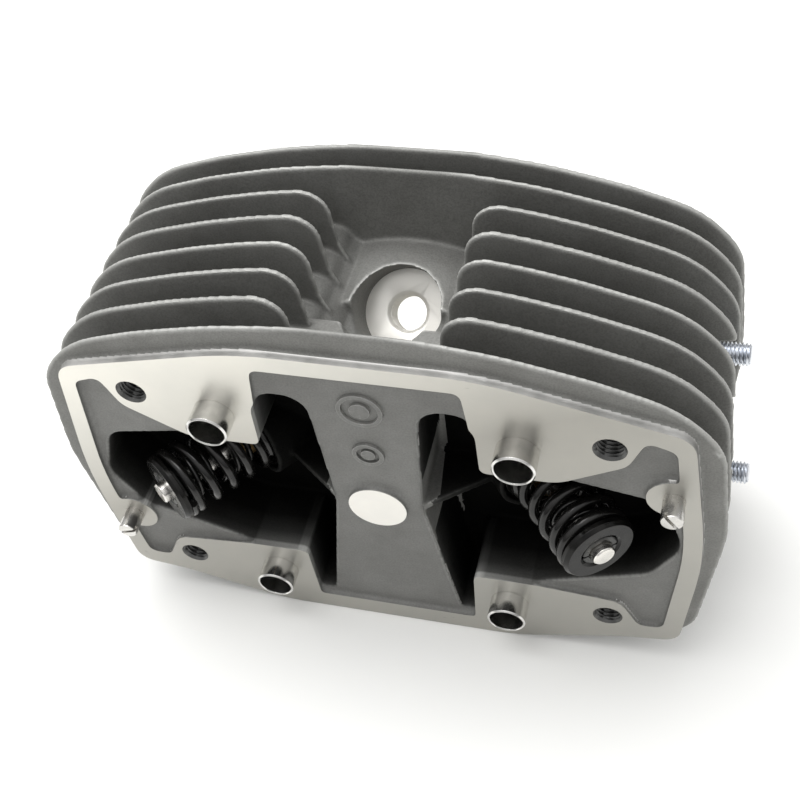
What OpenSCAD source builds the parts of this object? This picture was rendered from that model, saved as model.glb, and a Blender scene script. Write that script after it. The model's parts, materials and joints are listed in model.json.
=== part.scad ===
// Air-cooled cylinder head with two inclined overhead valves.
// Every shape is built in the casting's own frame: x to the intake side, y to the spark plug side,
// z from the joint face (0) out to the cover face. place() then turns it so that the cylinder axis
// lies along Y with the joint face at Y = 0, and the spark plug side points up.

/* [Casting] */
// Distance from the joint face to the cover face
face_z = 94; // [92:1:98]
// Depth of the cast area below the machined cover face
recess = 2; // [1:0.5:3]
// Height of the floor of the two rocker pockets above the joint face
pocket_floor = 66; // [65:1:69]
// Radius of the machined boss in the middle of the cover face
boss_r = 10.3; // [8:0.1:12]

/* [Cooling fins] */
// Distance from one fin to the next
fin_pitch = 12.5; // [12:0.1:13]
// Thickness of a fin
fin_t = 2; // [1.6:0.1:2.6]
// Height of the fins' top edge above the bore axis, at the middle
fin_top = 84.2; // [80:0.5:88]
// Half the width of the widest place of a fin
fin_half_w = 116.5; // [115:0.5:120]
// Half the width of the gap in the fins above the spark plug
plug_gap = 25; // [24:0.5:28]

/* [Head bolts] */
// Sideways distance from the bore axis to each upper bolt
bolt_upper_x = 50; // [49:0.5:51]
// Height of the upper bolts above the bore axis
bolt_upper_y = 42.5; // [42:0.5:44]
// Sideways distance from the bore axis to each lower bolt
bolt_lower_x = 44.3; // [43:0.1:46]
// Depth of the lower bolts below the bore axis
bolt_lower_y = 49.5; // [48:0.5:50]
// Radius of the bolt passages and of the bushes' bores
bolt_r = 6; // [5:0.1:6.2]
// Outer radius of the dowel bushes
bush_r = 7; // [6.8:0.1:7.5]
// Height of the bushes above the cover face
bush_proud = 8.4; // [6:0.1:10]
// Depth of the bushes below the cover face
bush_depth = 11.6; // [8:0.1:16]

/* [Cover fixings] */
// Tapping radius of the four threaded holes (M10)
tap_r = 4.25; // [4:0.05:4.5]
// Sideways distance from the bore axis to the upper threaded holes
tap_upper_x = 78; // [77:0.5:79]
// Height of the upper threaded holes above the bore axis
tap_upper_y = 48.4; // [48:0.1:49]
// Sideways distance from the bore axis to the lower threaded holes
tap_lower_x = 79.8; // [79:0.1:81]
// Depth of the lower threaded holes below the bore axis
tap_lower_y = 48.9; // [48:0.1:50]
// Sideways distance from the bore axis to each slotted cover stud
pin_x = 98.3; // [98:0.1:99]
// Height of the cover stud on the intake side
pin_right_y = 27; // [26:0.5:28]
// Depth of the cover stud on the exhaust side
pin_left_y = 25.8; // [25:0.1:27]
// Radius of the cover studs
pin_r = 3.6; // [3:0.1:4]
// Height of the cover studs above the cover face
pin_proud = 8.7; // [6:0.1:10]

/* [Combustion chamber] */
// Radius of the cylinder bore at the joint face
bore_r = 39; // [38.5:0.25:39.5]
// Depth of the centre of the chamber's sphere below the joint face
dome_drop = 4; // [3:0.5:5]

/* [Valve gear] */
// Angle of each valve stem to the bore axis
valve_tilt = 38; // [38:0.25:38.5]
// Distance from the crossing of the two stem axes to the stem tips
tip_s = 127.7; // [127:0.1:128]
// Distance from that crossing to the flat face of each valve head
valve_s = 33; // [32.5:0.25:33.5]
// Radius of the intake valve's head
intake_head_r = 18.5; // [17.5:0.25:18.5]
// Radius of the exhaust valve's head
exhaust_head_r = 17; // [16:0.25:17]
// Radius of the valve stems
stem_r = 4; // [3.9:0.05:4]
// Radial clearance between stem and guide
stem_gap = 0.03; // [0.02:0.01:0.06]
// Outer radius of the spring retainers
retainer_r = 13.25; // [13:0.05:13.5]
// Wire diameter of the outer springs
outer_wire = 3.7; // [3.2:0.1:3.8]
// Wire diameter of the inner springs
inner_wire = 2.4; // [2:0.1:2.4]

/* [Ports] */
// Radius of the ports
port_r = 14; // [12:0.25:14]
// Distance from the valve bowl to the port flange
port_len = 72; // [71:0.5:73]
// Angle by which the ports rise towards the spark plug side
port_rise = 7; // [6:0.5:8]
// Angle by which the ports lean towards the cover face
port_lean = 4.2; // [4:0.1:4.5]
// Spacing of the two port studs
stud_pitch = 50; // [49:0.5:51]
// Radius of the port studs (M8)
stud_r = 4; // [3.9:0.05:4]
// Height of the port studs above the flange
stud_proud = 20; // [15:0.5:22]

/* [Spark plug] */
// Height of the middle of the plug seat above the bore axis
plug_y = 34.1; // [34:0.1:35]
// Distance of the middle of the plug seat from the joint face
plug_z = 33; // [33:0.25:34]
// Angle of the plug to the bore axis
plug_tilt = 50; // [48:0.5:52]
// Radius of the machined plug seat
plug_seat_r = 15.5; // [15:0.1:16]
// Tapping radius of the plug thread (M14)
plug_r = 6.35; // [6.2:0.05:6.5]

/* [Hidden] */
$fn = 64;
eps = 0.01;
// Steps along the arc of one rounded corner
corner_steps = 6;
// Fins from the cover flange back to the joint face
flange_z = face_z - 5.3;
fin_zs = [for (i = [1 : 5]) flange_z - i * fin_pitch];
back_fin_zs = [flange_z - 6 * fin_pitch, flange_z - 6 * fin_pitch - 10.9];
dome_r = sqrt(bore_r * bore_r + dome_drop * dome_drop);
rim_half_w = 109.6;
bridge_half_w = 15.7;
// Places along a stem axis, measured from the crossing of the axes
spring_floor_s = tip_s - 43;
washer_t = 1.6;
retainer_top_s = tip_s - 2.6;
retainer_rim_t = 3;
retainer_hub_s = retainer_top_s - 9;
outer_mean_r = 11.75;
inner_mean_r = 8.2;
well_r = 15.5;
guide_r = 7;
guide_top_s = spring_floor_s + 10;
guide_end_s = 58;
seat_insert_t = 7;
seat_wall = 1.8;
bowl_s = 47;
// Chamber pockets cut around the valve heads
head_pocket_gap = 1.4;
port_boss_r = port_r + 5;
flange_t = 10;
stud_turn = 76.5;
// Feet of the bushes and studs, each a little thinner than the part that stands out
bush_foot_r = bush_r - 0.3;
pin_foot_r = pin_r - 0.3;
stud_foot_r = stud_r - 0.5;
// Chamfer at the mouths of the holes for the bushes and cover studs
mouth = 0.6;
plug_boss_r = 17.5;

// ---- Frames ----

module place() {
    rotate([90, 0, 0]) children();
}

// side is 1 for the intake and -1 for the exhaust
module on_valve(side) {
    rotate([0, side * valve_tilt, 0]) children();
}

// Local z runs out along the port from the valve bowl
module on_port(side) {
    bowl = [side * bowl_s * sin(valve_tilt), 0, bowl_s * cos(valve_tilt)];
    translate(bowl) rotate([0, side * (90 - port_lean), side * port_rise]) children();
}

module on_plug() {
    translate([0, plug_y, plug_z]) rotate([-plug_tilt, 0, 0]) children();
}

module at_bolts() {
    for (side = [-1, 1]) {
        translate([side * bolt_upper_x, bolt_upper_y, 0]) children();
        translate([side * bolt_lower_x, -bolt_lower_y, 0]) children();
    }
}

module at_taps() {
    for (side = [-1, 1]) {
        translate([side * tap_upper_x, tap_upper_y, 0]) children();
        translate([side * tap_lower_x, -tap_lower_y, 0]) children();
    }
}

module at_pins() {
    translate([pin_x, pin_right_y, 0]) children();
    translate([-pin_x, -pin_left_y, 0]) children();
}

// ---- Outlines ----

// One corner [x, y, radius] between its neighbours, as points along its arc
function corner(a, p, b) =
    let (u = [a.x - p.x, a.y - p.y] / norm([a.x - p.x, a.y - p.y]),
         v = [b.x - p.x, b.y - p.y] / norm([b.x - p.x, b.y - p.y]),
         half = acos(u * v) / 2,
         c = [p.x, p.y] + (u + v) / norm(u + v) * p.z / sin(half),
         s = [p.x, p.y] + u * p.z / tan(half) - c,
         e = [p.x, p.y] + v * p.z / tan(half) - c,
         a0 = atan2(s.y, s.x),
         turn = (atan2(e.y, e.x) - a0 + 540) % 360 - 180)
    [for (i = [0 : corner_steps])
        c + p.z * [cos(a0 + turn * i / corner_steps), sin(a0 + turn * i / corner_steps)]];

function rounded(p) =
    let (n = len(p))
    [for (i = [0 : n - 1]) each corner(p[(i + n - 1) % n], p[i], p[(i + 1) % n])];

// A half outline and its mirror image as one closed list of corners
function both(h) = concat(h, [for (i = [len(h) - 1 : -1 : 0]) [-h[i].x, h[i].y, h[i].z]]);

function crown(x) = fin_top - 0.002 * x * x;

// Smooth web between the spark plug boss and the pushrod tunnel
plug_web = [
    [10, 30, 1],
    [10, 41, 5],
    [20, 47, 10],
    [24.5, 57, 7],
    [34.5, 57, 7],
    [38.8, 44, 6],
    [38.8, 30, 1]];

// The fins' outer edge from the crown down one side to the foot
fin_side = [
    [fin_half_w - 18, crown(98), 42],
    [fin_half_w - 4.5, 48, 24],
    [fin_half_w, 5, 90],
    [fin_half_w - 6.5, -56, 16],
    [84, -66.5, 60],
    [48, -73.4, 60]];

rim_side = [
    [38, 73.3, 110],
    [102.5, 57, 9],
    [rim_half_w + 0.5, -3, 190],
    [105.3, -59, 7],
    [86, -61.8, 40],
    [46, -73.3, 60]];

recess_side = [
    [33.3, 66.5, 3],
    [37.3, 28.2, 2.5],
    [62, 28, 15],
    [83.5, 41, 8],
    [88.6, 54, 3],
    [97.8, 50.5, 4],
    [103.6, -2, 150],
    [99.4, -52, 3.5],
    [90.8, -52.4, 3.5],
    [84, -38.6, 7],
    [54, -35.6, 30],
    [31.5, -35.4, 2.5],
    [30.6, -64.6, 1.5]];

pocket_side = [
    [18.6, 53, 8.4],
    [36.6, 53, 8.4],
    [37.3, 28.2, 2.5],
    [64, 27.4, 20],
    [95.5, 21, 9],
    [102.6, -3, 14],
    [93, -20.5, 10],
    [60, -33.6, 12],
    [54, -35.6, 2],
    [31.5, -35.4, 2.5],
    [30.6, -62, 2],
    [25, -62, 1.5],
    [bridge_half_w, 0, 40]];

box_side = [
    [40, 57, 20],
    [96, 48, 14],
    [107, 0, 60],
    [101, -56, 10],
    [60, -65, 30],
    [44, -69.5, 30]];

module whole_fin() {
    top = [for (x = [20 : 26 : 72]) [x, crown(x), 150]];
    polygon(rounded(both(concat(top, fin_side))));
}

// One half of a fin beside the spark plug gap
module half_fin() {
    inner = [[-5, -73.4, 1], [-5, 38, 1], [15, 38, 3], [plug_gap - 2, 58, 20], [plug_gap, crown(plug_gap), 10]];
    top = [for (x = [46 : 18 : 82]) [x, crown(x), 150]];
    polygon(rounded(concat(inner, top, fin_side)));
}

// ---- Casting ----

module cast_fins() {
    translate([0, 0, flange_z]) linear_extrude(fin_t) whole_fin();
    for (z = back_fin_zs) translate([0, 0, z]) linear_extrude(fin_t) whole_fin();
    for (z = fin_zs) translate([0, 0, z]) linear_extrude(fin_t) {
        half_fin();
        mirror([1, 0]) half_fin();
    }
}

// Walls of the rocker box, the rim and the block around the chamber
module cast_block() {
    translate([0, 0, pocket_floor - 5]) linear_extrude(flange_z + 6 - pocket_floor)
        polygon(rounded(both(box_side)));
    translate([0, 0, flange_z]) linear_extrude(face_z - flange_z) polygon(rounded(both(rim_side)));
    cylinder(r = 53, h = 46);
    translate([-20, -58, 0]) cube([40, 100, pocket_floor]);
    at_bolts() cylinder(r = 12, h = flange_z + 1);
    for (side = [-1, 1]) {
        translate([side * 27.6, 42, 0]) cylinder(r = 11.2, h = pocket_floor);
        mirror([side < 0 ? 1 : 0, 0, 0]) translate([0, 0, 14]) linear_extrude(pocket_floor - 14)
            polygon(rounded(plug_web));
        translate([side * tap_upper_x, tap_upper_y, face_z - 32]) cylinder(r = 8.5, h = 30);
        translate([side * tap_lower_x, -tap_lower_y, face_z - 32]) cylinder(r = 8.5, h = 30);
        on_valve(side) cylinder(r = well_r + 3.5, h = spring_floor_s + 7);
        on_port(side) cylinder(r = port_boss_r, h = port_len);
    }
    on_plug() translate([0, 0, -26]) cylinder(r = plug_boss_r, h = 26);
}

// Flange for the carburettor stub on the intake side, and the exhaust pipe's collar
module cast_flanges() {
    on_port(1) translate([0, 0, port_len - flange_t]) {
        cylinder(r = port_boss_r + 1.5, h = flange_t);
        rotate([0, 0, stud_turn]) translate([-stud_pitch / 2, -9, 0]) cube([stud_pitch, 18, flange_t]);
        rotate([0, 0, stud_turn]) for (k = [-1, 1]) translate([k * stud_pitch / 2, 0, 0]) cylinder(r = 9, h = flange_t);
    }
    on_port(-1) translate([0, 0, port_len - 22]) cylinder(r = 23.5, h = 22);
}

module chamber_cuts() {
    translate([0, 0, -dome_drop]) sphere(r = dome_r, $fn = 128);
    translate([0, 0, -10]) cylinder(r = bore_r, h = 10 + eps);
    for (side = [-1, 1]) {
        head_r = side > 0 ? intake_head_r : exhaust_head_r;
        on_valve(side) {
            translate([0, 0, 12]) cylinder(r = head_r + head_pocket_gap, h = valve_s + 0.6 - 12);
            cylinder(r = head_r + seat_wall, h = valve_s + 0.6 + seat_insert_t);
            translate([0, 0, valve_s]) cylinder(r = head_r - 3, h = bowl_s - valve_s);
            translate([0, 0, bowl_s]) sphere(r = port_r + 0.4);
            cylinder(r = guide_r, h = spring_floor_s + eps);
            translate([0, 0, spring_floor_s]) cylinder(r = well_r, h = 60);
        }
        on_port(side) cylinder(r = port_r, h = port_len + 40);
    }
}

module port_cuts() {
    // Clearance in the fins in front of the two flanges
    on_port(1) translate([0, 0, port_len]) {
        cylinder(r = port_boss_r + 2.5, h = 40);
        rotate([0, 0, stud_turn]) for (k = [-1, 1]) translate([k * stud_pitch / 2, 0, 0]) {
            cylinder(r = 9, h = 40);
            translate([0, 0, -18]) cylinder(r = stud_foot_r, h = 20);
        }
    }
    on_port(-1) {
        translate([0, 0, port_len]) cylinder(r = 25, h = 40);
        translate([0, 0, port_len - 20]) cylinder(r = 19, h = 60);
    }
}

module plug_cuts() {
    on_plug() {
        intersection() {
            cylinder(r = plug_seat_r, h = 90);
            rotate([plug_tilt, 0, 0]) translate([-40, -60, -40]) cube([80, 160, flange_z - plug_z + 40]);
        }
        translate([0, 0, -40]) cylinder(r = plug_r, h = 41);
        translate([0, 0, -1.2]) cylinder(r1 = plug_r, r2 = plug_r + 1.25, h = 1.2 + eps);
    }
}

module cover_face_cuts() {
    difference() {
        translate([0, 0, face_z - recess]) linear_extrude(recess + 1) polygon(rounded(both(recess_side)));
        translate([0, 0, face_z - recess - 1]) cylinder(r = boss_r, h = recess + 1);
        // Lobes that carry the cover studs
        at_pins() translate([0, 0, face_z - recess - 1]) cylinder(r = 8.7, h = recess + 1);
        translate([pin_x, pin_right_y - 7, face_z - recess - 1]) cube([8, 14, recess + 1]);
        translate([-pin_x - 8, -pin_left_y - 7, face_z - recess - 1]) cube([8, 14, recess + 1]);
    }
    difference() {
        for (side = [0, 1]) mirror([side, 0, 0])
            translate([0, 0, pocket_floor]) linear_extrude(face_z) polygon(rounded(pocket_side));
        at_pins() cylinder(r = 8.7, h = face_z);
        for (side = [-1, 1]) rib(side);
        // Spring towers standing on the pocket floor
        for (side = [-1, 1]) on_valve(side) cylinder(r = well_r + 2, h = spring_floor_s + 3);
    }
}

// Web from the top of the bridge down to each spring tower
module rib(side) {
    mirror([side < 0 ? 1 : 0, 0, 0]) translate([14, 1.5, 0]) rotate([90, 0, 0])
        linear_extrude(3) polygon([[0, 60], [30, 60], [26, face_z - 21], [0, face_z - 1.5]]);
}

module bore_cuts() {
    at_bolts() {
        translate([0, 0, -1]) cylinder(r = bolt_r, h = face_z + 10);
        translate([0, 0, face_z - bush_depth]) cylinder(r = bush_foot_r, h = 40);
        translate([0, 0, face_z - mouth]) cylinder(r1 = bush_foot_r, r2 = bush_foot_r + 2 * mouth, h = 2 * mouth);
    }
    at_taps() {
        translate([0, 0, face_z - 22]) cylinder(r = tap_r, h = 30);
        translate([0, 0, face_z - 1]) cylinder(r1 = tap_r, r2 = tap_r + 1, h = 1 + eps);
    }
    at_pins() translate([0, 0, face_z - 14]) cylinder(r = pin_foot_r, h = 30);
    at_pins() translate([0, 0, face_z - mouth]) cylinder(r1 = pin_foot_r, r2 = pin_foot_r + 2 * mouth, h = 2 * mouth);
    // Pushrod tunnels, each with a counterbore for its tube at the joint face
    for (side = [-1, 1]) translate([side * 27.6, 42, -1]) {
        cylinder(r = 8, h = face_z);
        cylinder(r = 9.5, h = 9);
    }
}

module head_casting() color("silver") place() difference() {
    union() {
        cast_fins();
        cast_block();
        cast_flanges();
    }
    chamber_cuts();
    port_cuts();
    plug_cuts();
    cover_face_cuts();
    bore_cuts();
}

// ---- Valve gear ----

module valve(side, head_r) color("dimgray") place() on_valve(side) {
    seat_s = valve_s + 1.4;
    neck_s = seat_s + 2.2;
    rotate_extrude() difference() {
        polygon(concat(
            [[0, valve_s], [head_r - 0.4, valve_s], [head_r, valve_s + 0.4], [head_r, seat_s], [head_r - 2.2, neck_s]],
            [for (k = [1 : 5]) let (t = k / 5) [head_r - 2.2 - (head_r - 2.2 - stem_r) * sin(90 * t),
                neck_s + 12 * (1 - cos(90 * t))]],
            [[stem_r, tip_s - 0.4], [stem_r - 0.4, tip_s], [0, tip_s]]));
        translate([stem_r, tip_s - 6.5]) circle(r = 0.7, $fn = 24);
    }
}

module valve_seat(side, head_r) color("gray") place() on_valve(side) {
    outer = head_r + seat_wall;
    gap = 0.08;
    low = valve_s + 0.6;
    rotate_extrude() polygon([
        [outer, low], [outer, low + seat_insert_t], [head_r - 3, low + seat_insert_t],
        [head_r - 3, valve_s + 4.4 + gap], [head_r + gap, valve_s + 1.4], [head_r + gap, low]]);
}

module valve_guide(side) color("darkgoldenrod") place() on_valve(side) difference() {
    union() {
        translate([0, 0, guide_end_s]) cylinder(r = guide_r, h = spring_floor_s - guide_end_s);
        cylinder(r = guide_r - 0.8, h = guide_top_s);
    }
    cylinder(r = stem_r + stem_gap, h = guide_top_s + 1);
    cylinder(r = guide_r + 1, h = guide_end_s);
}

module spring_washer(side) color("dimgray") place() on_valve(side)
    translate([0, 0, spring_floor_s]) difference() {
        cylinder(r = well_r - 0.8, h = washer_t);
        translate([0, 0, -1]) cylinder(r = guide_r - 0.7, h = washer_t + 2);
    }

// Round wire wound between two heights; hand is 1 or -1
module coil_spring(mean_r, wire, from, to, turns, hand) {
    sides = 8;
    steps = 20;
    n = round(turns * steps);
    rise = to - from - wire;
    // The end turns lie close, and the turns between them are open
    function lift(t) = t < 1 / turns ? wire * 0.5 * t * turns
        : t > 1 - 1 / turns ? rise - wire * 0.5 * (1 - t) * turns
        : wire * 0.5 + (rise - wire) * (t - 1 / turns) / (1 - 2 / turns);
    points = [for (i = [0 : n]) for (k = [0 : sides - 1])
        let (a = hand * 360 * i / steps, b = 360 * k / sides, r = mean_r + wire / 2 * cos(b))
        [r * cos(a), r * sin(a), from + wire / 2 + lift(i / n) + wire / 2 * sin(b)]];
    tube = [for (i = [0 : n - 1]) for (k = [0 : sides - 1])
        let (j = (k + 1) % sides)
        [i * sides + k, i * sides + j, (i + 1) * sides + j, (i + 1) * sides + k]];
    start = [for (k = [sides - 1 : -1 : 0]) k];
    end = [for (k = [0 : sides - 1]) n * sides + k];
    faces = concat([start], tube, [end]);
    polyhedron(points, hand > 0 ? [for (f = faces) [for (k = [len(f) - 1 : -1 : 0]) f[k]]] : faces);
}

module outer_spring(side) color("black") place() on_valve(side)
    coil_spring(outer_mean_r, outer_wire, spring_floor_s + washer_t, retainer_top_s - retainer_rim_t, 6, 1);

module inner_spring(side) color("black") place() on_valve(side)
    coil_spring(inner_mean_r, inner_wire, spring_floor_s + washer_t, retainer_top_s - retainer_rim_t - 1.6, 7.5, -1);

module spring_retainer(side) color("black") place() on_valve(side) {
    rim_s = retainer_top_s - retainer_rim_t;
    rotate_extrude() polygon([
        [5.1, retainer_hub_s], [6.7, retainer_hub_s], [6.7, rim_s - 1.6], [9.5, rim_s - 1.6], [9.5, rim_s],
        [retainer_r, rim_s], [retainer_r, retainer_top_s - 1.2], [retainer_r - 1.4, retainer_top_s],
        [6.6, retainer_top_s]]);
}

// Two half cones that lock the retainer to the stem
module collets(side) color("dimgray") place() on_valve(side) {
    difference() {
        intersection() {
            rotate_extrude() polygon([
                [stem_r, retainer_hub_s + 0.6], [5.2, retainer_hub_s + 0.6], [6.5, retainer_top_s - 0.5],
                [stem_r, retainer_top_s - 0.5]]);
            translate([0, 0, retainer_hub_s]) cylinder(r = 8, h = 20);
        }
        translate([-10, -0.4, 0]) cube([20, 0.8, 200]);
    }
}

// ---- Fixings ----

module dowel_bush(x, y) color("silver") place() translate([x, y, face_z - bush_depth])
    rotate_extrude() polygon([
        [bolt_r, 0], [bush_foot_r, 0], [bush_foot_r, bush_depth], [bush_r, bush_depth],
        [bush_r, bush_depth + bush_proud - 0.4],
        [bush_r - 0.4, bush_depth + bush_proud], [bolt_r + 0.2, bush_depth + bush_proud],
        [bolt_r, bush_depth + bush_proud - 0.2]]);

module cover_stud(x, y, slot_turn) color("gainsboro") place() translate([x, y, face_z - 14]) difference() {
    union() {
        cylinder(r = pin_foot_r, h = 14 + eps);
        translate([0, 0, 14]) cylinder(r = pin_r, h = pin_proud - 0.5);
        translate([0, 0, 14 + pin_proud - 0.5]) cylinder(r1 = pin_r, r2 = pin_r - 0.5, h = 0.5);
    }
    rotate([0, 0, slot_turn]) translate([-6, -0.6, 14 + pin_proud - 2]) cube([12, 1.2, 4]);
}

module port_stud(k) color("lightsteelblue") place() on_port(1)
    rotate([0, 0, stud_turn]) translate([k * stud_pitch / 2, 0, port_len - 18]) {
        cylinder(r = stud_foot_r, h = 18 + eps);
        translate([0, 0, 18]) cylinder(r = stud_r, h = stud_proud - 0.8);
        translate([0, 0, 18 + stud_proud - 0.8]) cylinder(r1 = stud_r, r2 = stud_r - 0.8, h = 0.8);
    }

head_casting();
valve(1, intake_head_r);  // intake_valve
valve_seat(1, intake_head_r);  // intake_valve_seat
valve_guide(1);  // intake_valve_guide
spring_washer(1);  // intake_spring_washer
outer_spring(1);  // intake_outer_spring
inner_spring(1);  // intake_inner_spring
spring_retainer(1);  // intake_spring_retainer
collets(1);  // intake_collets
valve(-1, exhaust_head_r);  // exhaust_valve
valve_seat(-1, exhaust_head_r);  // exhaust_valve_seat
valve_guide(-1);  // exhaust_valve_guide
spring_washer(-1);  // exhaust_spring_washer
outer_spring(-1);  // exhaust_outer_spring
inner_spring(-1);  // exhaust_inner_spring
spring_retainer(-1);  // exhaust_spring_retainer
collets(-1);  // exhaust_collets
dowel_bush(-bolt_upper_x, bolt_upper_y);  // dowel_bush_upper_left
dowel_bush(bolt_upper_x, bolt_upper_y);  // dowel_bush_upper_right
dowel_bush(-bolt_lower_x, -bolt_lower_y);  // dowel_bush_lower_left
dowel_bush(bolt_lower_x, -bolt_lower_y);  // dowel_bush_lower_right
cover_stud(-pin_x, -pin_left_y, 20);  // cover_stud_left
cover_stud(pin_x, pin_right_y, -55);  // cover_stud_right
port_stud(1);  // port_stud_upper
port_stud(-1);  // port_stud_lower
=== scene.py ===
import json
import math

import bmesh
import bpy
import numpy as np
from mathutils import Euler, Matrix, Vector


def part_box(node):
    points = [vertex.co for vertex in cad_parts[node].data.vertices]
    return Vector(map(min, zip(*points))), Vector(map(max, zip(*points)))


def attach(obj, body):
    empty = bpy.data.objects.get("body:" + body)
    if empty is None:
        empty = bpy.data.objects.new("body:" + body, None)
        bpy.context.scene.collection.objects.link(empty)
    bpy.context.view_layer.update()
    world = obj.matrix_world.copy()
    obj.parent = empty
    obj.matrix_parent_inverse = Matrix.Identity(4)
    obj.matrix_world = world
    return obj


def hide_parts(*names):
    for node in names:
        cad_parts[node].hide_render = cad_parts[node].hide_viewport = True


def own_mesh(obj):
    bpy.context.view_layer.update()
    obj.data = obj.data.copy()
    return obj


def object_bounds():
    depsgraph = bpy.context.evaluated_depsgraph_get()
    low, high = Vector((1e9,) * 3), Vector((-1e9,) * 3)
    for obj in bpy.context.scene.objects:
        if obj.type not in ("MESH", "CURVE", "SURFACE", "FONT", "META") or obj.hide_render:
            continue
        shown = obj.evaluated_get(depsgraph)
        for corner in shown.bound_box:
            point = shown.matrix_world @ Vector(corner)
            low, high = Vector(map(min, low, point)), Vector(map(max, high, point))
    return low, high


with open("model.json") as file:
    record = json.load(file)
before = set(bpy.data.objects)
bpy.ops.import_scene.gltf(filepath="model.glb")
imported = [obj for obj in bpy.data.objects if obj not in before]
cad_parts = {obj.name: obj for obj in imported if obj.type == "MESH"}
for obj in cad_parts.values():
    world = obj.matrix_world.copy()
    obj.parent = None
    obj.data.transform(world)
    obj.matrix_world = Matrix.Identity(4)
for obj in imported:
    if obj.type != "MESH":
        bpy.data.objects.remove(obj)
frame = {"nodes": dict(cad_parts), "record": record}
cad_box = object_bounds()
scene = bpy.context.scene

# ---------------------------------------------------------------------------
# Sizes. Millimetres in the casting's own frame: x to the intake side, y to the spark plug side,
# z from the joint face out to the cover face. at() gives the place in the frame, in metres.
# ---------------------------------------------------------------------------
MM = 0.001
MOUNTS = {m["name"]: m for m in frame["record"]["mounts"]}
FACE_Z = -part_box("head_casting")[0][1] / MM      # cover face
RECESS = 2.0                                     # cast area below the cover face
POCKET_Z = 66.0                                  # floor of the rocker pockets
POCKET = [(18.6, 53), (36.6, 53), (37.3, 28.2), (64, 27.4), (95.5, 21), (103, -3), (93, -20.5), (60, -33.6),
          (54, -35.6), (31.5, -35.4), (30.6, -62), (25, -62), (20, 0)]
RECESS_AREA = [(33.3, 66.5), (37.3, 28.2), (62, 28), (83.5, 41), (88.6, 54), (97.8, 50.5), (103.8, -2),
               (99.4, -52), (90.8, -52.4), (84, -38.6), (54, -35.6), (31.5, -35.4), (30.6, -64.6)]
BRIDGE_HALF_W, BRIDGE_HALF_H = 34, 66.5          # half sides of a box round the bridge's cast face
PADS = [(51.0, 7.6), (28.5, 5.4)]                # height up the bridge and outer radius of two cast rings
PAD_W, PAD_T = 1.5, 1.1                          # width of each ring, and how far it stands out
PAD_FOOT = 0.8                                   # how far it is sunk into the bridge
COLLAR_R = 24.8                                  # clearance round the exhaust pipe's collar
COLLAR_DEPTH = 20.0                              # length of the exhaust port's counterbore
COLLAR_ROOF = ((-104, -5, 60), (-98, 19, 70.5))  # closes the gap the clearance leaves in the pocket floor
HEAD_BOLT_R = 6.0                                # passages of the head bolts
BUSH_R, BUSH_FOOT_R, BUSH_BORE_R = 6.98, 6.68, 6.02
BUSH_HOLE_R, BUSH_DEPTH = 6.72, 11.6
PIN_R, PIN_FOOT_R, PIN_HOLE_R, PIN_DEPTH = 3.6, 3.28, 3.32, 14
TAP_R, TAP_PITCH, TAP_DEPTH = 5.0, 1.5, 22       # tapped holes in the cover face
PLUG_R, PLUG_PITCH = 7.0, 1.25                   # spark plug thread
PORT_STUD_R, PORT_STUD_PITCH, PORT_STUD_L = 4.0, 1.25, 20.6
TUBE_R = 9.5                                     # counterbores of the pushrod tubes
BOSS_R = 10.3                                    # machined boss in the middle of the bridge
TIP_S = 127.7                                    # stem tip, from the crossing of the two stem axes
VALVE_S = 33.0                                   # face of the valve head
SPRING_FLOOR_S = TIP_S - 43
WASHER_T = 1.6                                   # washers under the springs
RETAINER_TOP_S = TIP_S - 2.6
RIM_T = 3.0                                      # thickness of the spring retainers at the rim
PLUG = Vector((0, 34.1, 33.0))                   # middle of the spark plug's seat


def at(x, y, z):
    return Vector((x, -z, y)) * MM


def line_of(mount):
    """A mount's point and axis."""
    m = MOUNTS[mount]
    return Vector(m["pos_m"]), Vector(m["axis"]).normalized()


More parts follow.
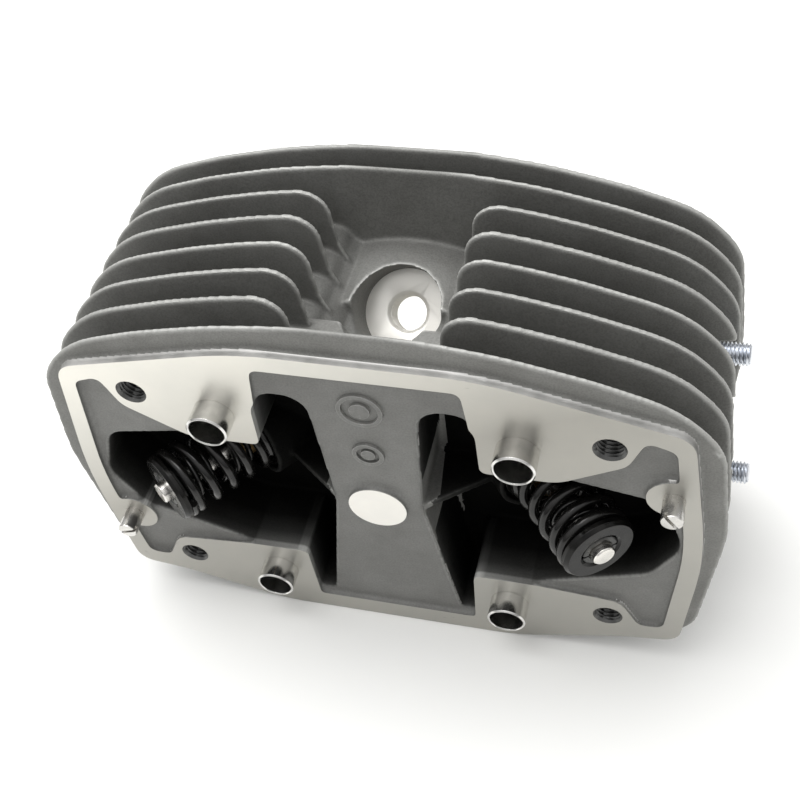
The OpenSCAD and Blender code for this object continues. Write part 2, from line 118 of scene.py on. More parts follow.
# ---------------------------------------------------------------------------
# Materials
# ---------------------------------------------------------------------------
class Nodes:
    """A short way to build a shader: add() makes a node and sets its inputs, wire() joins two sockets."""

    def __init__(self, name, base, metallic, roughness, **more):
        self.mat = bpy.data.materials.new(name)
        self.mat.use_nodes = True
        self.tree = self.mat.node_tree
        self.bsdf = self.tree.nodes["Principled BSDF"]
        self.bsdf.inputs["Base Color"].default_value = (*base, 1)
        self.bsdf.inputs["Metallic"].default_value = metallic
        self.bsdf.inputs["Roughness"].default_value = roughness
        for key, value in more.items():
            self.bsdf.inputs[key.replace("_", " ")].default_value = value

    def add(self, kind, **inputs):
        node = self.tree.nodes.new(kind)
        for key, value in inputs.items():
            if key.startswith("p_"):
                setattr(node, key[2:], value)
            else:
                node.inputs[key.replace("_", " ")].default_value = value
        return node

    def wire(self, a, b):
        self.tree.links.new(a, b)

    def place(self, scale=(1, 1, 1)):
        """Object coordinates, stretched by scale."""
        coords = self.add("ShaderNodeTexCoord")
        mapping = self.add("ShaderNodeMapping", Scale=scale)
        self.wire(coords.outputs["Object"], mapping.inputs["Vector"])
        return mapping.outputs["Vector"]

    def noise(self, scale, detail=4.0, rough=0.6, stretch=(1, 1, 1)):
        node = self.add("ShaderNodeTexNoise", Scale=scale, Detail=detail, Roughness=rough)
        self.wire(self.place(stretch), node.inputs["Vector"])
        return node.outputs["Fac"]

    def ramp(self, value, stops):
        node = self.add("ShaderNodeValToRGB")
        node.color_ramp.elements[0].position = stops[0][0]
        node.color_ramp.elements[0].color = (*stops[0][1], 1)
        node.color_ramp.elements[1].position = stops[-1][0]
        node.color_ramp.elements[1].color = (*stops[-1][1], 1)
        for position, colour in stops[1:-1]:
            node.color_ramp.elements.new(position).color = (*colour, 1)
        self.wire(value, node.inputs["Fac"])
        return node.outputs["Color"]

    def span(self, value, low, high, source=(0.0, 1.0)):
        """value taken from the range source to low..high."""
        node = self.add("ShaderNodeMapRange")
        node.inputs["From Min"].default_value = source[0]
        node.inputs["From Max"].default_value = source[1]
        node.inputs["To Min"].default_value = low
        node.inputs["To Max"].default_value = high
        self.wire(value, node.inputs["Value"])
        return node.outputs["Result"]

    def blend(self, how, factor, a, b):
        node = self.add("ShaderNodeMix", p_data_type="RGBA", p_blend_type=how)
        if isinstance(factor, float):
            node.inputs[0].default_value = factor
        else:
            self.wire(factor, node.inputs[0])
        for socket, value in ((node.inputs[6], a), (node.inputs[7], b)):
            if isinstance(value, tuple):
                socket.default_value = (*value, 1)
            else:
                self.wire(value, socket)
        return node.outputs[2]

    def bump(self, heights):
        """Bumps laid over each other: (height output, distance in metres, strength)."""
        last = None
        for height, distance, strength in heights:
            node = self.add("ShaderNodeBump", Distance=distance, Strength=strength)
            self.wire(height, node.inputs["Height"])
            if last:
                self.wire(last, node.inputs["Normal"])
            last = node.outputs["Normal"]
        self.wire(last, self.bsdf.inputs["Normal"])

    def colour(self, socket):
        self.wire(socket, self.bsdf.inputs["Base Color"])

    def roughness(self, socket):
        self.wire(socket, self.bsdf.inputs["Roughness"])


def grey(v, warm=0.0):
    return (v * (1 + warm), v, v * (1 - warm - 0.02))


# How bright the cover face is painted: a painted gradient of light and shade from its plug side's exhaust
# corner to the opposite corner
PAINTED_FACE_LIGHT = [(0.05, grey(1.0)), (0.2, grey(0.78)), (0.38, grey(0.48, 0.01)), (0.6, grey(0.56)), (0.85, grey(0.52))]
PAINTED_FACE_LIGHT_HALF = 0.23
# Painted shade for the rocker pockets in the same way, darker from the cast face down to the floor
POCKET_SHADE = [(0.0, grey(1.0)), (0.03, grey(0.4)), (0.2, grey(0.16)), (0.5, grey(0.05)), (1.0, grey(0.03))]


def cast_skin(name, dark, light, depth_shaded=False):
    """Shot-blasted aluminium: a peened skin, faint stains, and lighter edges that are partly wear and partly
    a painted highlight. Painted shade darkens its hollows; with the last argument set, painted shade darkens
    it with depth instead.
    """
    n = Nodes(name, grey(0.4), 0.35, 0.55)
    stains = n.noise(38, 6, 0.65)
    peen = n.noise(1500, 2, 0.5)
    lumps = n.noise(320, 3, 0.55)
    # Lighter edges: partly wear, partly a painted highlight along the fin tips.
    edge = n.add("ShaderNodeNewGeometry").outputs["Pointiness"]
    edge_wear_and_highlight = n.span(edge, 0.0, 0.75, (0.515, 0.58))
    base = n.ramp(stains, [(0.3, grey(dark, 0.01)), (0.7, grey(light, 0.0))])
    speck = n.ramp(peen, [(0.32, grey(0.72)), (0.6, grey(1.0))])
    base = n.blend("MULTIPLY", 0.7, base, speck)
    base = n.blend("MIX", edge_wear_and_highlight, base, grey(0.74))
    if depth_shaded:
        # Painted shade: darker with depth from the cast face down to the pocket floor, with less shine there
        # too.
        parts = n.add("ShaderNodeSeparateXYZ")
        n.wire(n.place(), parts.inputs["Vector"])
        depth = n.span(parts.outputs["Y"], 0.0, 1.0, (-(FACE_Z - RECESS) * MM, -POCKET_Z * MM))
        depth_shade = n.ramp(depth, POCKET_SHADE)
        base = n.blend("MULTIPLY", 1.0, base, depth_shade)
        n.wire(n.blend("MULTIPLY", 1.0, depth_shade, depth_shade), n.bsdf.inputs["Specular IOR Level"])
    else:
        # Painted shade: darker where ambient occlusion finds creases, recesses and the gaps between fins.
        hollow = n.add("ShaderNodeAmbientOcclusion", p_samples=8, Distance=0.012).outputs["AO"]
        crevice_shade = n.ramp(hollow, [(0.1, grey(0.75)), (0.5, grey(0.95)), (0.9, grey(1.0))])
        base = n.blend("MULTIPLY", 1.0, base, crevice_shade)
    n.colour(base)
    n.roughness(n.span(lumps, 0.5, 0.68))
    n.bump([(peen, 0.0002, 0.55), (lumps, 0.0004, 0.35)])
    return n.mat


def milled_face(name, bright, painted_falloff=False):
    """Near white fly-cut metal with fine tool marks and dark nicks. Its last argument lays a painted gradient
    of light and shade over it.
    """
    n = Nodes(name, grey(0.7, 0.02), 0.85 if painted_falloff else 0.4, 0.36)
    cuts = n.noise(900, 2, 0.5, (0.08, 1, 1))
    haze = n.noise(30, 4, 0.6)
    nicks = n.noise(140, 3, 0.75, (0.5, 1, 1.4))
    base = n.ramp(haze, [(0.3, grey(0.88 * bright, 0.02)), (0.75, grey(bright, 0.03))])
    spots = n.ramp(nicks, [(0.71, grey(1.0)), (0.76, grey(0.35))])
    base = n.blend("MULTIPLY", 0.85, base, spots)
    if painted_falloff:
        # Painted light and shade: brighter at one corner of the face and darker towards the opposite one.
        parts = n.add("ShaderNodeSeparateXYZ")
        n.wire(n.place((1, 1, -2)), parts.inputs["Vector"])
        across = n.add("ShaderNodeMath", p_operation="ADD")
        n.wire(parts.outputs["X"], across.inputs[0])
        n.wire(parts.outputs["Z"], across.inputs[1])
        oil_tone_and_light_falloff = n.span(across.outputs[0], 0.0, 1.0, (-PAINTED_FACE_LIGHT_HALF, PAINTED_FACE_LIGHT_HALF))
        base = n.blend("MULTIPLY", 1.0, base, n.ramp(oil_tone_and_light_falloff, PAINTED_FACE_LIGHT))
    n.colour(base)
    n.roughness(n.span(haze, 0.28, 0.44))
    n.bump([(cuts, 0.00006, 0.25), (nicks, 0.0002, 0.12)])
    return n.mat


def turned_metal(name, base, rough, metallic=1.0, grain=700):
    """Bright turned or drawn steel with fine lines and faint smears."""
    n = Nodes(name, base, metallic, rough)
    lines = n.noise(grain, 2, 0.5, (1, 0.12, 1))
    smears = n.noise(110, 4, 0.6)
    dark = tuple(0.72 * c for c in base)
    n.colour(n.ramp(smears, [(0.3, dark), (0.65, base)]))
    n.roughness(n.span(smears, max(rough - 0.08, 0.05), rough + 0.14))
    n.bump([(lines, 0.00005, 0.3)])
    return n.mat


def oiled_black(name, base, rough, coat=0.4):
    """Blued spring steel under a layer of oil."""
    n = Nodes(name, grey(base), 0.5, rough, Coat_Weight=coat, Coat_Roughness=0.12, Specular_IOR_Level=0.35)
    oil_tone_and_light_falloff = n.noise(160, 4, 0.6)
    wear = n.noise(420, 3, 0.6)
    n.colour(n.ramp(oil_tone_and_light_falloff, [(0.3, grey(base * 0.6)), (0.7, grey(base * 2.6, 0.05))]))
    n.roughness(n.span(wear, rough - 0.08, rough + 0.16))
    n.bump([(wear, 0.0001, 0.2)])
    return n.mat


def zinc_plate(name):
    n = Nodes(name, (0.66, 0.69, 0.74), 1.0, 0.3)
    patch = n.noise(260, 4, 0.6)
    n.colour(n.ramp(patch, [(0.3, (0.5, 0.53, 0.58)), (0.7, (0.8, 0.82, 0.86))]))
    n.roughness(n.span(patch, 0.22, 0.42))
    n.bump([(n.noise(900, 2, 0.5), 0.00008, 0.25)])
    return n.mat


CAST = cast_skin("cast_skin", 0.17, 0.24)
# Darker cast skin with painted shade that deepens down into the pockets.
SHADED_CAST = cast_skin("shaded_pocket", 0.13, 0.19, depth_shaded=True)
# The cover face carries a painted gradient of light and shade.
MILLED = milled_face("milled_face", 0.78, painted_falloff=True)
RIM_SIDE = turned_metal("rim_side", grey(0.5, 0.01), 0.42, 0.8, 500)
DRILLED = turned_metal("drilled_wall", grey(0.14), 0.35, 0.9)
CHAMBER = turned_metal("turned_chamber", grey(0.62), 0.33, 0.9, 500)
BLACK = oiled_black("oiled_black", 0.008, 0.2)
RETAINER = oiled_black("retainer_black", 0.006, 0.16, 0.0)
GROUND = turned_metal("ground_steel", grey(0.86, 0.03), 0.2)
STEEL = turned_metal("polished_steel", grey(0.78, 0.01), 0.17)
BRIGHT = turned_metal("bright_steel", grey(0.68, 0.02), 0.24)
COLLET = turned_metal("blued_collet", grey(0.08, 0.005), 0.25)
SEAT = turned_metal("seat_steel", grey(0.42), 0.3)
BRONZE = turned_metal("guide_bronze", (0.55, 0.36, 0.16), 0.32)
ZINC = zinc_plate("zinc_plate")

# ---------------------------------------------------------------------------
# Mesh helpers
# ---------------------------------------------------------------------------


def new_object(name, mesh, *materials):
    obj = bpy.data.objects.new(name, mesh)
    scene.collection.objects.link(obj)
    for m in materials:
        mesh.materials.append(m)
    return obj


def frame_along(origin, axis):
    """A matrix that takes local z to axis at origin."""
    turn = axis.to_track_quat("Z", "Y").to_matrix().to_4x4()
    return Matrix.Translation(origin) @ turn


def grid_mesh(name, rings):
    """A closed skin over rings of points; each ring has the same number of points."""
    count = len(rings[0])
    verts = [p for ring in rings for p in ring]
    faces = []
    for i in range(len(rings) - 1):
        for k in range(count):
            j = (k + 1) % count
            faces.append((i * count + k, i * count + j, (i + 1) * count + j, (i + 1) * count + k))
    faces.append(tuple(reversed(range(count))))
    last = (len(rings) - 1) * count
    faces.append(tuple(last + k for k in range(count)))
    mesh = bpy.data.meshes.new(name)
    mesh.from_pydata(verts, [], faces)
    return mesh


def fillet(points, radius, steps=4):
    """A closed (r, h) profile with its corners rounded, or left where the sides are too short."""
    out = []
    n = len(points)
    for i, p in enumerate(points):
        p = Vector(p)
        a = Vector(points[i - 1]) - p
        b = Vector(points[(i + 1) % n]) - p
        turn = a.angle(b)
        cut = min(radius / math.tan(turn / 2), 0.45 * a.length, 0.45 * b.length)
        if turn > math.radians(160) or p.x < 1e-6:
            out.append(p)
            continue
        start, end = p + a.normalized() * cut, p + b.normalized() * cut
        for k in range(steps + 1):
            t = k / steps
            out.append((1 - t) ** 2 * start + 2 * t * (1 - t) * p + t * t * end)
    return out


def smooth_shade(obj, angle=35):
    mesh = obj.data
    mesh.shade_smooth()
    mesh.set_sharp_from_angle(angle=math.radians(angle))
    weights = obj.modifiers.new("weights", "WEIGHTED_NORMAL")
    weights.keep_sharp = True
    return obj


def lathe(name, profile, matrix, *materials, radius=0.25, segments=96, sweep=360.0, start=0.0):
    """A profile of (radius, height) in mm turned round local z. A part turn gets flat ends."""
    points = fillet(profile, radius)
    whole = sweep >= 360
    steps = segments if whole else max(int(segments * sweep / 360), 3)
    bm = bmesh.new()
    rings = []
    for s in range(steps if whole else steps + 1):
        a = math.radians(start + sweep * s / steps)
        rings.append([bm.verts.new((p.x * math.cos(a), p.x * math.sin(a), p.y)) for p in points])
    n = len(points)
    for s in range(steps):
        one, two = rings[s], rings[(s + 1) % len(rings)]
        for i in range(n):
            j = (i + 1) % n
            bm.faces.new((one[i], two[i], two[j], one[j]))
    if not whole:
        bm.faces.new(rings[0])
        bm.faces.new(list(reversed(rings[-1])))
    bmesh.ops.remove_doubles(bm, verts=bm.verts, dist=1e-5)
    bmesh.ops.recalc_face_normals(bm, faces=bm.faces)
    mesh = bpy.data.meshes.new(name)
    bm.to_mesh(mesh)
    bm.free()
    mesh.transform(matrix @ Matrix.Diagonal((MM, MM, MM, 1)))
    return smooth_shade(new_object(name, mesh, *materials))


def thread_rings(outer, pitch, length, chamfer, around=56, per_turn=8):
    """Rings of a screw thread along local z from 0 to length, in mm, with a chamfer at both ends."""
    depth = 0.61 * pitch
    rings = []
    count = int(length / pitch * per_turn)
    for i in range(count + 1):
        z = length * i / count
        ring = []
        for k in range(around):
            a = 2 * math.pi * k / around
            phase = (z / pitch - k / around) % 1.0
            groove = 1 - abs(2 * phase - 1)
            groove = min(max(groove * 1.35 - 0.15, 0), 1)
            r = outer - depth * groove
            end = min(z, length - z)
            r = min(r, outer - chamfer + end)
            ring.append((r * math.cos(a), r * math.sin(a), z))
        rings.append(ring)
    return rings


def thread_rod(name, outer, pitch, length, chamfer, matrix, *materials):
    mesh = grid_mesh(name, thread_rings(outer, pitch, length, chamfer))
    mesh.transform(matrix @ Matrix.Diagonal((MM, MM, MM, 1)))
    return smooth_shade(new_object(name, mesh, *materials), 50)


def settle(obj):
    """Applies the modifiers, so that the mesh is the final one."""
    depsgraph = bpy.context.evaluated_depsgraph_get()
    mesh = bpy.data.meshes.new_from_object(obj.evaluated_get(depsgraph), depsgraph=depsgraph)
    obj.modifiers.clear()
    obj.data = mesh
    return obj


# ---------------------------------------------------------------------------
# The casting: the CAD solid with its cast edges rounded, then machined again
# ---------------------------------------------------------------------------
VOXEL = 0.72
CASTING_TRIANGLES = 330000
GROW = 2.4                                       # stock left on the machined faces before the cut
BOLTS = [MOUNTS["dowel_" + n] for n in ("upper_left", "upper_right", "lower_left", "lower_right")]
TAPS = []
for m in (MOUNTS["tapped_upper"], MOUNTS["tapped_lower"]):
    for end in (-1, 1):
        x = end * m["dims"]["spacing_x_mm"] / 2 * MM
        TAPS.append({"pos_m": (x, m["pos_m"][1], m["pos_m"][2])})
COVER_STUDS = [MOUNTS["cover_stud_left"], MOUNTS["cover_stud_right"]]
TUNNELS = [MOUNTS["pushrod_tube_left"], MOUNTS["pushrod_tube_right"]]
OUT = Vector((0, -1, 0))                         # out of the cover face
PLUG_AXIS = line_of("spark_plug")[1]
PLUG_SEAT_R = 15.5


def on_face(mount, z):
    """The point of a mount's axis at height z in mm above the joint face."""
    p = Vector(mount["pos_m"])
    return Vector((p.x, -z * MM, p.z))


def solid_of(profile, matrix, segments=96):
    """A turned cutter as a bare object: the profile runs from the axis and back to it."""
    rings = []
    for r, h in profile:
        rings.append([(r * math.cos(2 * math.pi * k / segments), r * math.sin(2 * math.pi * k / segments), h)
                      for k in range(segments)])
    mesh = grid_mesh("cutter", rings)
    mesh.transform(matrix @ Matrix.Diagonal((MM, MM, MM, 1)))
    return new_object("cutter", mesh)


def box_of(low, high):
    mesh = bpy.data.meshes.new("cutter")
    bm = bmesh.new()
    bmesh.ops.create_cube(bm, size=1)
    for v in bm.verts:
        v.co = at(*[low[i] if v.co[i] < 0 else high[i] for i in range(3)])
    bmesh.ops.recalc_face_normals(bm, faces=bm.faces)
    bm.to_mesh(mesh)
    bm.free()
    return new_object("cutter", mesh)


def cut(body, cutters):
    for cutter in cutters:
        mod = body.modifiers.new("cut", "BOOLEAN")
        mod.operation = "DIFFERENCE"
        mod.solver = "MANIFOLD"
        mod.object = cutter
    settle(body)
    for cutter in cutters:
        bpy.data.objects.remove(cutter)


def rough_casting():
    """The CAD solid with stock on its machined faces, skinned again so that every cast edge is round."""
    mesh = frame["nodes"]["head_casting"].data.copy()
    body = new_object("head_body", mesh)
    bm = bmesh.new()
    bm.from_mesh(mesh)
    bmesh.ops.remove_doubles(bm, verts=bm.verts, dist=2e-6)
    for v in bm.verts:
        if abs(v.co.y + FACE_Z * MM) < 2e-5:
            v.co.y -= GROW * MM
        elif abs(v.co.y) < 2e-5:
            v.co.y += GROW * MM
    roof = box_of(*COLLAR_ROOF)
    bm.from_mesh(roof.data)
    bpy.data.objects.remove(roof)
    bm.to_mesh(mesh)
    bm.free()
    skin = body.modifiers.new("skin", "REMESH")
    skin.mode = "VOXEL"
    skin.voxel_size = VOXEL * MM
    soft = body.modifiers.new("soft", "SMOOTH")
    soft.factor = 0.5
    soft.iterations = 7
    return settle(body)


def machine(body):
    """Faces the two flat sides, and bores, taps and spotfaces the casting."""
    cutters = [box_of((-200, -200, FACE_Z), (200, 200, FACE_Z + 20)),
               box_of((-200, -200, -20), (200, 200, 0))]
    for m in BOLTS:
        floor = FACE_Z - BUSH_DEPTH
        cutters.append(solid_of([(HEAD_BOLT_R, -8), (HEAD_BOLT_R, floor), (BUSH_HOLE_R, floor),
                                 (BUSH_HOLE_R, FACE_Z + 8)], frame_along(on_face(m, 0), OUT)))
    for m in TAPS:
        seat = frame_along(on_face(m, FACE_Z - TAP_DEPTH), OUT)
        tap = grid_mesh("cutter", thread_rings(TAP_R, TAP_PITCH, TAP_DEPTH + 2, 0))
        tap.transform(seat @ Matrix.Diagonal((MM, MM, MM, 1)))
        cutters.append(new_object("cutter", tap))
        mouth = TAP_R + 0.5
        cutters.append(solid_of([(3.9, TAP_DEPTH - 1.4), (mouth, TAP_DEPTH + 0.2),
                                 (mouth, TAP_DEPTH + 4)], seat))
    for m in COVER_STUDS:
        cutters.append(solid_of([(PIN_HOLE_R, FACE_Z - PIN_DEPTH), (PIN_HOLE_R, FACE_Z + 8)],
                                frame_along(on_face(m, 0), OUT)))
    plug = frame_along(at(*PLUG), PLUG_AXIS)
    cutters.append(solid_of([(PLUG_SEAT_R, -0.12), (PLUG_SEAT_R, 26)], plug))
    bore = grid_mesh("cutter", thread_rings(PLUG_R, PLUG_PITCH, 24, 0, 72))
    bore.transform(plug @ Matrix.Translation((0, 0, -23 * MM)) @ Matrix.Diagonal((MM, MM, MM, 1)))
    cutters.append(new_object("cutter", bore))
    cutters.append(solid_of([(PLUG_R - 0.8, -1.5), (PLUG_R + 0.7, 0.0), (PLUG_R + 0.7, 2)], plug))
    collar = frame_along(*line_of("exhaust_port"))
    cutters.append(solid_of([(COLLAR_R, COLLAR_DEPTH / 2), (COLLAR_R, 40)], collar))
    for m in TUNNELS:
        cutters.append(solid_of([(TUBE_R, -8), (TUBE_R, 8)], frame_along(on_face(m, 0), OUT)))
    cut(body, cutters)


def cast_pads(body):
    """Adds two plain raised rings, each round a small disc, to the bridge."""
    floor = FACE_Z - RECESS
    low, high = floor - PAD_FOOT, floor + PAD_T
    for height, radius in PADS:
        place = frame_along(at(0, height, 0), OUT)
        made = []
        for r0, r1 in ((radius - PAD_W, radius), (0, 0.45 * radius)):
            made.append(lathe("pad", [(r0, low), (r0, high), (r1, high), (r1, low)], place, CAST))
        bm = bmesh.new()
        for piece in [body] + made:
            bm.from_mesh(piece.data)
        bm.to_mesh(body.data)
        bm.free()
        for piece in made:
            bpy.data.objects.remove(piece)


def inside(px, py, outline):
    """True where a point lies within the closed outline."""
    hit = np.zeros(len(px), bool)
    for (ax, ay), (bx, by) in zip(outline, outline[1:] + outline[:1]):
        if ay != by:
            hit ^= ((ay > py) != (by > py)) & (px < ax + (bx - ax) * (py - ay) / (by - ay))
    return hit


def paint(body):
    """Gives each face the skin of the tool that made it. What no rule names stays cast skin, slot 0."""
    mesh = body.data
    mesh.materials.clear()
    for m in (CAST, MILLED, RIM_SIDE, DRILLED, CHAMBER, SPOT, SHADED_CAST):
        mesh.materials.append(m)
    milled, rim_side, drilled, chamber, spot, depth_shaded = range(1, 7)
    n = len(mesh.polygons)
    centre = np.empty(n * 3)
    normal = np.empty(n * 3)
    mesh.polygons.foreach_get("center", centre)
    mesh.polygons.foreach_get("normal", normal)
    c = centre.reshape(-1, 3) / MM
    d = normal.reshape(-1, 3)
    x, y, z = c[:, 0], c[:, 2], -c[:, 1]
    up = -d[:, 1]
    outward = (x * d[:, 0] + y * d[:, 2]) / np.maximum(np.hypot(x, y), 1)
    index = np.zeros(n, np.int32)
    px, py = np.abs(x + 0.8 * d[:, 0]), y + 0.8 * d[:, 2]
    pocket = inside(px, py, POCKET) | inside(np.abs(x + 3 * d[:, 0]), y + 3 * d[:, 2], POCKET)
    recess = inside(px, py, RECESS_AREA) | ((px < BRIDGE_HALF_W) & (np.abs(py) < BRIDGE_HALF_H))
    # The recess and the pockets get the cast skin with painted depth shade.
    index[recess & (z > FACE_Z - RECESS - 0.6) & (z < FACE_Z - 0.1)] = depth_shaded
    index[pocket & (z > POCKET_Z - 4) & (z < FACE_Z - 0.1)] = depth_shaded
    index[(z > 91.0) & (np.abs(up) < 0.5) & (outward > 0.1) & (np.hypot(x, y) > 40)] = rim_side
    index[(z < 34) & (np.hypot(x, y) < 39.4) & (z > 0.05)] = chamber
    on_cover = (up > 0.97) & (np.abs(z - FACE_Z) < 0.06)
    index[on_cover] = milled
    index[(up < -0.97) & (np.abs(z) < 0.06)] = milled
    area = np.empty(n)
    mesh.polygons.foreach_get("area", area)
    boss = (np.hypot(x, y) < BOSS_R + 1) & (area < 1.3 * math.pi * (BOSS_R * MM) ** 2)
    index[on_cover & boss] = spot
    for holes, r in ((BOLTS, BUSH_HOLE_R + 0.08), (TAPS, TAP_R + 0.55), (COVER_STUDS, PIN_HOLE_R + 0.08)):
        for m in holes:
            p = Vector(m["pos_m"]) / MM
            index[(np.hypot(x - p.x, y - p.z) < r) & (np.abs(up) < 0.95) & (z > 60)] = drilled
    seat = np.array(at(*PLUG)) / MM
    axis = np.array(PLUG_AXIS)
    along = (c - seat) @ axis
    away = np.linalg.norm((c - seat) - np.outer(along, axis), axis=1)
    index[(away < PLUG_SEAT_R + 0.1) & (along < 0.3) & (along > -14)] = spot
    mesh.polygons.foreach_set("material_index", index)
    mesh.shade_smooth()
    mesh.set_sharp_from_angle(angle=math.radians(38))


def casting():
    body = rough_casting()
    machine(body)
    triangles = sum(len(p.vertices) - 2 for p in body.data.polygons)
    thin = body.modifiers.new("thin", "DECIMATE")
    thin.ratio = min(1.0, CASTING_TRIANGLES / max(triangles, 1))
    settle(body)
    cast_pads(body)
    paint(body)
    return body


SPOT = milled_face("spot_face", 0.95)
head_body = casting()
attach(head_body, "head")
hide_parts("head_casting")

# ---------------------------------------------------------------------------
# Valve gear: one set for each side. Heights run along the stem from the crossing of the two axes.
# ---------------------------------------------------------------------------
SPRING_S = SPRING_FLOOR_S + WASHER_T


def spring(name, stem, mean_r, wire, top, turns, hand):
    """A round wire wound up the stem, closed and ground flat at both ends."""
    around, steps = 16, 44
    n = round(turns * steps)
    rise = top - SPRING_S - 0.5 * wire
    rings = []
    for i in range(n + 1):
        t = i / n
        if t < 1 / turns:
            lift = 0.75 * wire * t * turns
        elif t > 1 - 1 / turns:
            lift = rise - 0.75 * wire * (1 - t) * turns
        else:
            lift = 0.75 * wire + (rise - 1.5 * wire) * (t - 1 / turns) / (1 - 2 / turns)
        a = hand * 2 * math.pi * i / steps
        ring = []
        for k in range(around):
            b = -hand * 2 * math.pi * k / around
            r = mean_r + 0.5 * wire * math.cos(b)
            h = SPRING_S + 0.25 * wire + lift + 0.5 * wire * math.sin(b)
            ring.append((r * math.cos(a), r * math.sin(a), min(max(h, SPRING_S), top)))
        rings.append(ring)
    mesh = grid_mesh(name, rings)
    mesh.transform(stem @ Matrix.Diagonal((MM, MM, MM, 1)))
    return smooth_shade(new_object(name, mesh, BLACK), 60)


def valve_set(word, head_r):
    """One valve with its seat, guide, washer, springs, retainer and collets."""
    stem = frame_along(Vector((0, 0, 0)), line_of(word + "_stem_tip")[1])
    head, moving, lift = "head", word + "_valve_set", word + "_valve_lift"
    seat_s = VALVE_S + 1.4
    neck = [(head_r - 2.2 - (head_r - 6.2) * math.sin(math.radians(15 * k)),
             seat_s + 2.2 + 12 * (1 - math.cos(math.radians(15 * k)))) for k in range(7)]
    profile = [(0, VALVE_S), (head_r - 0.5, VALVE_S), (head_r, VALVE_S + 0.5), (head_r, seat_s)]
    profile += neck + [(4.0, TIP_S - 7.2), (3.35, TIP_S - 6.9), (3.35, TIP_S - 6.1), (4.0, TIP_S - 5.8),
                       (4.0, TIP_S - 0.5), (3.5, TIP_S), (0, TIP_S)]
    valve = lathe(word + "_valve_body", profile, stem, GROUND, radius=0.2, segments=72)
    rim = RETAINER_TOP_S - RIM_T
    hub = RETAINER_TOP_S - 9
    retainer = lathe(word + "_retainer_disc", [
        (5.1, hub), (6.7, hub), (6.7, rim - 1.6), (9.5, rim - 1.6), (9.5, rim), (13.25, rim),
        (13.25, RETAINER_TOP_S - 1.3), (12.2, RETAINER_TOP_S), (7.6, RETAINER_TOP_S),
        (6.6, RETAINER_TOP_S - 0.7)], stem, RETAINER, radius=0.35)
    cones = []
    for half in (0, 1):
        cones.append(lathe("%s_collet_%d" % (word, half + 1), [
            (4.02, hub + 0.6), (5.15, hub + 0.6), (6.45, RETAINER_TOP_S - 0.5), (5.9, RETAINER_TOP_S - 0.2),
            (4.5, RETAINER_TOP_S - 0.2), (4.02, RETAINER_TOP_S - 0.6)],
            stem, COLLET, radius=0.15, sweep=172, start=4 + 180 * half))
    outer = spring(word + "_spring_outer", stem, 11.75, 3.7, rim, 6, 1)
    inner = spring(word + "_spring_inner", stem, 8.2, 2.4, rim - 1.6, 7.5, -1)
    washer = lathe(word + "_spring_seat", [
        (6.4, SPRING_FLOOR_S), (14.6, SPRING_FLOOR_S), (14.6, SPRING_S), (6.4, SPRING_S)], stem, RETAINER)
    guide = lathe(word + "_guide", [
        (4.05, 58), (6.4, 58), (7.0, 58.8), (7.0, SPRING_FLOOR_S), (6.2, SPRING_FLOOR_S),
        (6.2, SPRING_FLOOR_S + 9.2), (5.4, SPRING_FLOOR_S + 10), (4.05, SPRING_FLOOR_S + 10)], stem, BRONZE)
    low = VALVE_S + 0.6
    seat = lathe(word + "_seat_ring", [
        (head_r + 1.8, low), (head_r + 1.8, low + 7), (head_r - 3, low + 7), (head_r - 3, VALVE_S + 4.5),
        (head_r + 0.1, VALVE_S + 1.4), (head_r + 0.1, low)], stem, SEAT, radius=0.15)
    made = [(valve, moving, "_valve", "valve_steel"), (retainer, moving, "_spring_retainer", "black_steel"),
            (cones[0], moving, "_collets", "hard_steel"), (cones[1], moving, "_collets", "hard_steel"),
            (outer, head, "_outer_spring", "black_steel"), (inner, head, "_inner_spring", "black_steel"),
            (washer, head, "_spring_washer", "black_steel"), (guide, head, "_valve_guide", "guide_bronze"),
            (seat, head, "_valve_seat", "seat_steel")]
    for piece, body, node, slot in made:
        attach(settle(piece), body)
        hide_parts(word + node)
    for coil, length in ((outer, rim - SPRING_S), (inner, rim - 1.6 - SPRING_S)):
        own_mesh(coil)


valve_set("intake", 18.5)
valve_set("exhaust", 17.0)

# ---------------------------------------------------------------------------
# Bushes and studs
# ---------------------------------------------------------------------------
for word in ("upper_left", "upper_right", "lower_left", "lower_right"):
    m = MOUNTS["dowel_" + word]
    foot, top = FACE_Z - BUSH_DEPTH, FACE_Z + 8.4
    outline = [(BUSH_BORE_R, foot), (BUSH_FOOT_R, foot), (BUSH_FOOT_R, FACE_Z), (BUSH_R, FACE_Z),
               (BUSH_R, top - 0.5), (6.5, top), (6.35, top), (BUSH_BORE_R, top - 0.3)]
    bush = lathe("bush_" + word, outline, frame_along(on_face(m, 0), OUT), STEEL, radius=0.12)
    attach(settle(bush), "head")
    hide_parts("dowel_bush_" + word)


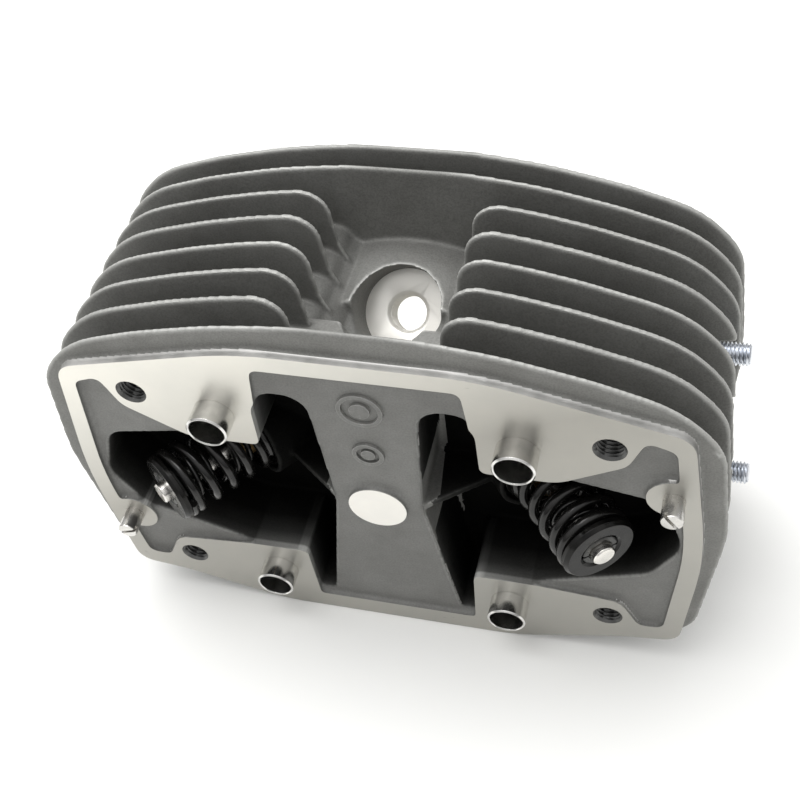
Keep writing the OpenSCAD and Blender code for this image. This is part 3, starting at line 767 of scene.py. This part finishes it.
def slotted_stud(word, turn):
    """A cover stud whose end has a driver slot, turned by turn degrees."""
    place = frame_along(on_face(MOUNTS["cover_stud_" + word], 0), OUT)
    top = FACE_Z + 8.7
    stud = solid_of([(PIN_FOOT_R, FACE_Z - PIN_DEPTH), (PIN_FOOT_R, FACE_Z), (PIN_R, FACE_Z),
                     (PIN_R, top - 0.7), (3.4, top - 0.25), (2.9, top)], place)
    stud.name = "slotted_stud_" + word
    stud.data.materials.append(BRIGHT)
    way = Matrix.Rotation(math.radians(turn), 3, "Y") @ Vector((1, 0, 0))
    across = OUT.cross(way)
    bm = bmesh.new()
    bmesh.ops.create_cube(bm, size=1)
    middle = place @ Vector((0, 0, top * MM))
    for v in bm.verts:
        v.co = middle + (way * 12 * v.co.x + across * 1.2 * v.co.y + OUT * 4 * v.co.z) * MM
    bmesh.ops.recalc_face_normals(bm, faces=bm.faces)
    blade = bpy.data.meshes.new("cutter")
    bm.to_mesh(blade)
    bm.free()
    cut(stud, [new_object("cutter", blade)])
    smooth_shade(stud, 30)
    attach(settle(stud), "head")
    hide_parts("cover_stud_" + word)


slotted_stud("left", -20)
slotted_stud("right", 55)

port_axis = line_of("intake_studs")[1]
for word in ("upper", "lower"):
    low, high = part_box("port_stud_" + word)
    foot = (low + high) / 2 - port_axis * 1.6 * MM
    rod = thread_rod("threaded_stud_" + word, PORT_STUD_R, PORT_STUD_PITCH, PORT_STUD_L, 0.9,
                     frame_along(foot, port_axis), ZINC)
    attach(settle(rod), "head")
    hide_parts("port_stud_" + word)

# ---------------------------------------------------------------------------
# Stage: pale floor, soft light, and the camera
# ---------------------------------------------------------------------------
FLOOR = cad_box[0].z - 0.0003
floor_mesh = bpy.data.meshes.new("floor")
floor_mesh.from_pydata([(-6, -6, FLOOR), (6, -6, FLOOR), (6, 6, FLOOR), (-6, 6, FLOOR)], [], [(0, 1, 2, 3)])
pale = Nodes("pale_floor", grey(0.9), 0.0, 0.9)
floor = new_object("floor", floor_mesh, pale.mat)

world = bpy.data.worlds.new("studio")
scene.world = world
world.use_nodes = True
sky = world.node_tree
coords = sky.nodes.new("ShaderNodeTexCoord")
split = sky.nodes.new("ShaderNodeSeparateXYZ")
glow = sky.nodes.new("ShaderNodeValToRGB")
glow.color_ramp.elements[0].position, glow.color_ramp.elements[0].color = 0.0, (0.2, 0.2, 0.2, 1)
glow.color_ramp.elements[1].position, glow.color_ramp.elements[1].color = 0.9, (1, 1, 1, 1)
sky.links.new(coords.outputs["Generated"], split.inputs["Vector"])
sky.links.new(split.outputs["Z"], glow.inputs["Fac"])
sky.links.new(glow.outputs["Color"], sky.nodes["Background"].inputs["Color"])
sky.nodes["Background"].inputs["Strength"].default_value = 1.2


def softbox(name, place, aim, size, power):
    data = bpy.data.lights.new(name, "AREA")
    data.shape = "RECTANGLE"
    data.size, data.size_y = size
    data.energy = power
    light = bpy.data.objects.new(name, data)
    light.location = place
    light.rotation_euler = (Vector(aim) - Vector(place)).to_track_quat("-Z", "Y").to_euler()
    scene.collection.objects.link(light)


softbox("key", (-0.25, 0.1, 0.9), (0, -0.05, 0), (0.9, 0.9), 9)

camera = bpy.data.objects.new("camera", bpy.data.cameras.new("camera"))
camera.data.lens = 54.2954
camera.data.sensor_width = 36
camera.location = (0.097999, -0.315523, 0.338531)
camera.rotation_euler = Euler([math.radians(a) for a in (40.05199, 6.04304, 13.49610)])
camera.data.clip_start, camera.data.clip_end = 0.02, 40
scene.collection.objects.link(camera)
scene.camera = camera
scene.view_settings.view_transform = "Standard"
